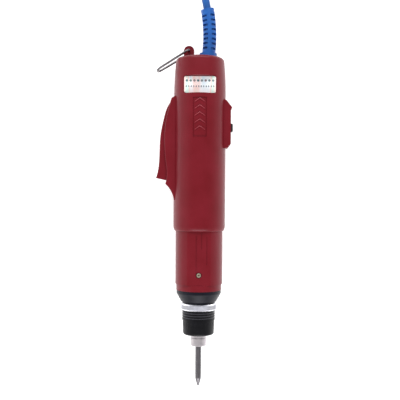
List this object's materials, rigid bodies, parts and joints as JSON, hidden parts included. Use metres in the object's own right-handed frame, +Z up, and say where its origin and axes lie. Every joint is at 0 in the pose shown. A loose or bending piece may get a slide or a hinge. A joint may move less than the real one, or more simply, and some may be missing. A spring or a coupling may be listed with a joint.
{
  "type": "electric torque screwdriver",
  "caption": "Lever-start electric torque screwdriver with adjustable clutch nut, planetary drive, reversing switch, hanging bail and coiled cord with round plug.",
  "frame": {"origin": "on the drive axis at the mouth of the bit sleeve", "axes": "+Y along the tool towards the cord, +Z up out of the label side with the tool lying on its back, lever towards -X, reversing switch towards +X"},
  "size_m": [0.079, 0.3795, 0.035],
  "materials": {
    "red_housing": "satin moulded ABS",
    "black_plastic": "moulded nylon",
    "black_metal": "black anodised",
    "bright_nickel": "nickel plated",
    "satin_nickel": "satin nickel plated",
    "tool_steel": "hardened tool steel",
    "steel": "machined",
    "spring_steel": "drawn wire",
    "brass": "turned",
    "aluminium": "die cast",
    "rotor_iron": "laminated and wound",
    "ferrite": "sintered",
    "board": "solder masked",
    "label": "iridescent sticker",
    "blue_pvc": "moulded PVC",
    "plug_plastic": "moulded"
  },
  "bodies": {
    "housing": {"housing_front": "red_housing", "housing_back": "red_housing", "gear_sleeve": "red_housing", "sleeve_end_band": "red_housing", "start_switch": "black_plastic", "reversing_switch": "black_plastic", "brake_switch": "black_plastic", "motor_end_cap": "black_plastic", "nose_cone": "black_metal", "lock_ring": "bright_nickel", "plug_shell": "bright_nickel", "spindle_bearings": "steel", "ring_gear": "steel", "motor_can": "steel", "sleeve_screws": "steel", "housing_screws": "steel", "lever_pin": "steel", "ball_cage": "steel", "clutch_spring": "spring_steel", "lever_spring": "spring_steel", "motor_bushes": "brass", "motor_brushes": "brass", "plug_pins": "brass", "gear_case": "aluminium", "motor_mount": "aluminium", "motor_magnets": "ferrite", "circuit_board": "board", "label": "label", "strain_relief": "blue_pvc", "cord": "blue_pvc", "cord_coil": "blue_pvc", "plug_body": "plug_plastic", "coil_tie": "plug_plastic"},
    "torque_seat": {"spring_seat": "steel"},
    "torque_nut": {"torque_nut": "black_metal"},
    "clutch": {"thrust_washer": "steel", "clutch_balls": "steel", "brake_rod": "steel"},
    "rotor": {"motor_rotor": "rotor_iron", "motor_shaft": "steel", "motor_pinion": "brass"},
    "input_stage": {"input_carrier": "steel"},
    "spindle": {"spindle": "tool_steel", "bit": "tool_steel", "lock_ball": "steel", "retaining_clip": "spring_steel", "output_carrier": "steel", "sleeve_spring": "spring_steel"},
    "bit_sleeve": {"bit_sleeve": "satin_nickel"},
    "trigger": {"trigger_lever": "red_housing"},
    "start_button": {"start_button": "black_plastic"},
    "reversing_knob": {"reversing_knob": "black_plastic"},
    "bail": {"suspension_bail": "bright_nickel"},
    "input_planet_1": {"input_planet_1": "steel"},
    "output_planet_1": {"output_planet_1": "steel"},
    "input_planet_2": {"input_planet_2": "steel"},
    "output_planet_2": {"output_planet_2": "steel"},
    "input_planet_3": {"input_planet_3": "steel"},
    "output_planet_3": {"output_planet_3": "steel"}
  },
  "joints": [
    {"name": "torque_seat_slide", "type": "slide", "parent": "housing", "child": "torque_seat", "axis": [0, -1, 0], "range_m": [0, 0.003], "deforming": ["clutch_spring"]},
    {"name": "torque_nut_turn", "type": "hinge", "parent": "torque_seat", "child": "torque_nut", "pos_m": [0, 0.016, 0], "axis": [0, -1, 0], "range_deg": [0, 1080]},
    {"name": "clutch_trip", "type": "slide", "parent": "housing", "child": "clutch", "axis": [0, -1, 0], "range_m": [0, 0.00065], "stiffness_N_per_m": 2000, "springref_m": -0.0003, "deforming": ["clutch_spring"]},
    {"name": "motor_spin", "type": "hinge", "parent": "housing", "child": "rotor", "pos_m": [0, 0.07, 0], "axis": [0, 1, 0], "continuous": true},
    {"name": "input_stage_spin", "type": "hinge", "parent": "housing", "child": "input_stage", "pos_m": [0, 0.047, 0], "axis": [0, 1, 0], "continuous": true},
    {"name": "spindle_spin", "type": "hinge", "parent": "housing", "child": "spindle", "pos_m": [0, 0.02, 0], "axis": [0, 1, 0], "continuous": true},
    {"name": "bit_sleeve_slide", "type": "slide", "parent": "spindle", "child": "bit_sleeve", "axis": [0, 1, 0], "range_m": [0, 0.0018], "stiffness_N_per_m": 300, "springref_m": -0.001, "deforming": ["sleeve_spring"]},
    {"name": "trigger_pivot", "type": "hinge", "parent": "housing", "child": "trigger", "pos_m": [-0.0176, 0.16345, 0], "axis": [0, 0, 1], "range_deg": [0, 6], "stiffness_Nm_per_rad": 0.3, "springref_deg": -2.86, "deforming": ["lever_spring"]},
    {"name": "start_button_slide", "type": "slide", "parent": "housing", "child": "start_button", "axis": [1, 0, 0], "range_m": [0, 0.003]},
    {"name": "reversing_knob_slide", "type": "slide", "parent": "housing", "child": "reversing_knob", "axis": [0, 1, 0], "range_m": [-0.003, 0.003]},
    {"name": "bail_pivot", "type": "hinge", "parent": "housing", "child": "bail", "pos_m": [-0.0076, 0.19955, 0], "axis": [0, 0, -1], "range_deg": [0, 132]},
    {"name": "input_planet_1_spin", "type": "hinge", "parent": "input_stage", "child": "input_planet_1", "pos_m": [0.0054, 0.04915, 0], "axis": [0, 1, 0], "continuous": true},
    {"name": "output_planet_1_spin", "type": "hinge", "parent": "spindle", "child": "output_planet_1", "pos_m": [0.0054, 0.04245, 0], "axis": [0, 1, 0], "continuous": true},
    {"name": "input_planet_2_spin", "type": "hinge", "parent": "input_stage", "child": "input_planet_2", "pos_m": [-0.0027, 0.04915, -0.00468], "axis": [0, 1, 0], "continuous": true},
    {"name": "output_planet_2_spin", "type": "hinge", "parent": "spindle", "child": "output_planet_2", "pos_m": [-0.0027, 0.04245, -0.00468], "axis": [0, 1, 0], "continuous": true},
    {"name": "input_planet_3_spin", "type": "hinge", "parent": "input_stage", "child": "input_planet_3", "pos_m": [-0.0027, 0.04915, 0.00468], "axis": [0, 1, 0], "continuous": true},
    {"name": "output_planet_3_spin", "type": "hinge", "parent": "spindle", "child": "output_planet_3", "pos_m": [-0.0027, 0.04245, 0.00468], "axis": [0, 1, 0], "continuous": true}
  ],
  "couplings": [
    {"joint": "torque_nut_turn", "follows": "torque_seat_slide", "rad_per_m": 6283.2},
    {"joint": "input_stage_spin", "follows": "motor_spin", "ratio": 0.22222},
    {"joint": "spindle_spin", "follows": "motor_spin", "ratio": 0.049383},
    {"joint": "start_button_slide", "follows": "trigger_pivot", "m_per_rad": 0.0275},
    {"joint": "input_planet_1_spin", "follows": "motor_spin", "ratio": -0.62222},
    {"joint": "output_planet_1_spin", "follows": "motor_spin", "ratio": -0.13827},
    {"joint": "input_planet_2_spin", "follows": "motor_spin", "ratio": -0.62222},
    {"joint": "output_planet_2_spin", "follows": "motor_spin", "ratio": -0.13827},
    {"joint": "input_planet_3_spin", "follows": "motor_spin", "ratio": -0.62222},
    {"joint": "output_planet_3_spin", "follows": "motor_spin", "ratio": -0.13827}
  ]
}
